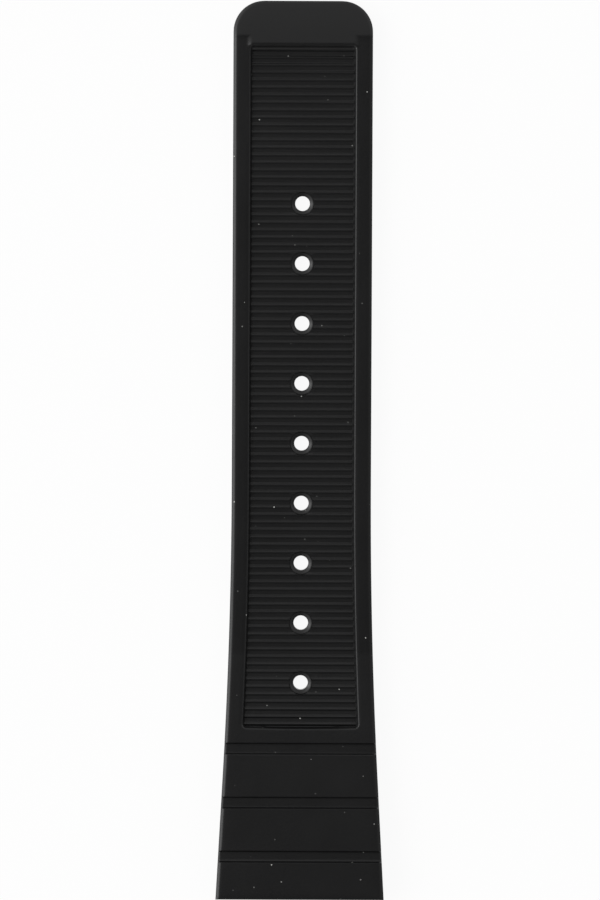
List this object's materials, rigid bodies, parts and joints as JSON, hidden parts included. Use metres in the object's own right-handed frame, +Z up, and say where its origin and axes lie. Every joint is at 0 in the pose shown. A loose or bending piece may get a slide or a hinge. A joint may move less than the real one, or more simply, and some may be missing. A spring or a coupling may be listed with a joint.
{
  "type": "rubber watch strap",
  "caption": "Tail half of a rubber watch strap: thick lug end with a spring bar, cross grooves, sunk ribbed panel with tongue holes between smooth rails, round-cornered tip",
  "frame": {"origin": "on the surface that the strap lies on, under the middle of its length and width", "axes": "+X across the strap, +Y from the lug end to the tip, +Z up out of the ribbed wrist side"},
  "size_m": [0.022, 0.1174, 0.0042],
  "materials": {
    "strap_rubber": "satin black",
    "bar_steel": "fine turned"
  },
  "bodies": {
    "lug_end": {"lug_end": "strap_rubber"},
    "lug_link_1": {"lug_link_1": "strap_rubber"},
    "lug_link_2": {"lug_link_2": "strap_rubber"},
    "panel_link": {"panel_link": "strap_rubber"},
    "holed_band_1": {"holed_band_1": "strap_rubber"},
    "holed_band_2": {"holed_band_2": "strap_rubber"},
    "holed_band_3": {"holed_band_3": "strap_rubber"},
    "holed_band_4": {"holed_band_4": "strap_rubber"},
    "holed_band_5": {"holed_band_5": "strap_rubber"},
    "holed_band_6": {"holed_band_6": "strap_rubber"},
    "holed_band_7": {"holed_band_7": "strap_rubber"},
    "holed_band_8": {"holed_band_8": "strap_rubber"},
    "holed_band_9": {"holed_band_9": "strap_rubber"},
    "plain_band": {"plain_band": "strap_rubber"},
    "tip": {"tip": "strap_rubber"},
    "spring_bar_barrel": {"spring_bar_barrel": "bar_steel", "spring_bar_spring": "bar_steel"},
    "plunger_left": {"plunger_left": "bar_steel"},
    "plunger_right": {"plunger_right": "bar_steel"}
  },
  "joints": [
    {"name": "groove_bend_1", "type": "hinge", "parent": "lug_end", "child": "lug_link_1", "pos_m": [0, -0.05305, 0.00332], "axis": [1, 0, 0], "range_deg": [0, 20], "stiffness_Nm_per_rad": 0.06},
    {"name": "groove_bend_2", "type": "hinge", "parent": "lug_link_1", "child": "lug_link_2", "pos_m": [0, -0.04601, 0.00297], "axis": [1, 0, 0], "range_deg": [0, 20], "stiffness_Nm_per_rad": 0.06},
    {"name": "groove_bend_3", "type": "hinge", "parent": "lug_link_2", "child": "panel_link", "pos_m": [0, -0.03897, 0.00262], "axis": [1, 0, 0], "range_deg": [0, 20], "stiffness_Nm_per_rad": 0.06},
    {"name": "band_bend_1", "type": "hinge", "parent": "panel_link", "child": "holed_band_1", "pos_m": [0, -0.03429, 0.00299], "axis": [1, 0, 0], "range_deg": [0, 20], "stiffness_Nm_per_rad": 0.04},
    {"name": "band_bend_2", "type": "hinge", "parent": "holed_band_1", "child": "holed_band_2", "pos_m": [0, -0.02646, 0.0026], "axis": [1, 0, 0], "range_deg": [0, 20], "stiffness_Nm_per_rad": 0.024},
    {"name": "band_bend_3", "type": "hinge", "parent": "holed_band_2", "child": "holed_band_3", "pos_m": [0, -0.01863, 0.0026], "axis": [1, 0, 0], "range_deg": [0, 20], "stiffness_Nm_per_rad": 0.024},
    {"name": "band_bend_4", "type": "hinge", "parent": "holed_band_3", "child": "holed_band_4", "pos_m": [0, -0.01081, 0.0026], "axis": [1, 0, 0], "range_deg": [0, 20], "stiffness_Nm_per_rad": 0.024},
    {"name": "band_bend_5", "type": "hinge", "parent": "holed_band_4", "child": "holed_band_5", "pos_m": [0, -0.00298, 0.0026], "axis": [1, 0, 0], "range_deg": [0, 20], "stiffness_Nm_per_rad": 0.024},
    {"name": "band_bend_6", "type": "hinge", "parent": "holed_band_5", "child": "holed_band_6", "pos_m": [0, 0.00485, 0.0026], "axis": [1, 0, 0], "range_deg": [0, 20], "stiffness_Nm_per_rad": 0.024},
    {"name": "band_bend_7", "type": "hinge", "parent": "holed_band_6", "child": "holed_band_7", "pos_m": [0, 0.01269, 0.0026], "axis": [1, 0, 0], "range_deg": [0, 20], "stiffness_Nm_per_rad": 0.024},
    {"name": "band_bend_8", "type": "hinge", "parent": "holed_band_7", "child": "holed_band_8", "pos_m": [0, 0.02051, 0.0026], "axis": [1, 0, 0], "range_deg": [0, 20], "stiffness_Nm_per_rad": 0.024},
    {"name": "band_bend_9", "type": "hinge", "parent": "holed_band_8", "child": "holed_band_9", "pos_m": [0, 0.02834, 0.0026], "axis": [1, 0, 0], "range_deg": [0, 20], "stiffness_Nm_per_rad": 0.024},
    {"name": "band_bend_10", "type": "hinge", "parent": "holed_band_9", "child": "plain_band", "pos_m": [0, 0.03617, 0.0026], "axis": [1, 0, 0], "range_deg": [0, 20], "stiffness_Nm_per_rad": 0.024},
    {"name": "band_bend_11", "type": "hinge", "parent": "plain_band", "child": "tip", "pos_m": [0, 0.04401, 0.0026], "axis": [1, 0, 0], "range_deg": [0, 20], "stiffness_Nm_per_rad": 0.024},
    {"name": "bar_turn", "type": "hinge", "parent": "lug_end", "child": "spring_bar_barrel", "pos_m": [0, -0.0564, 0.00205], "axis": [1, 0, 0], "continuous": true},
    {"name": "plunger_left_slide", "type": "slide", "parent": "spring_bar_barrel", "child": "plunger_left", "axis": [-1, 0, 0], "range_m": [0, 0.0011], "stiffness_N_per_m": 1500, "springref_m": 0.00115, "deforming": ["spring_bar_spring"]},
    {"name": "plunger_right_slide", "type": "slide", "parent": "spring_bar_barrel", "child": "plunger_right", "axis": [1, 0, 0], "range_m": [0, 0.0011], "stiffness_N_per_m": 1500, "springref_m": 0.00115, "deforming": ["spring_bar_spring"]}
  ]
}
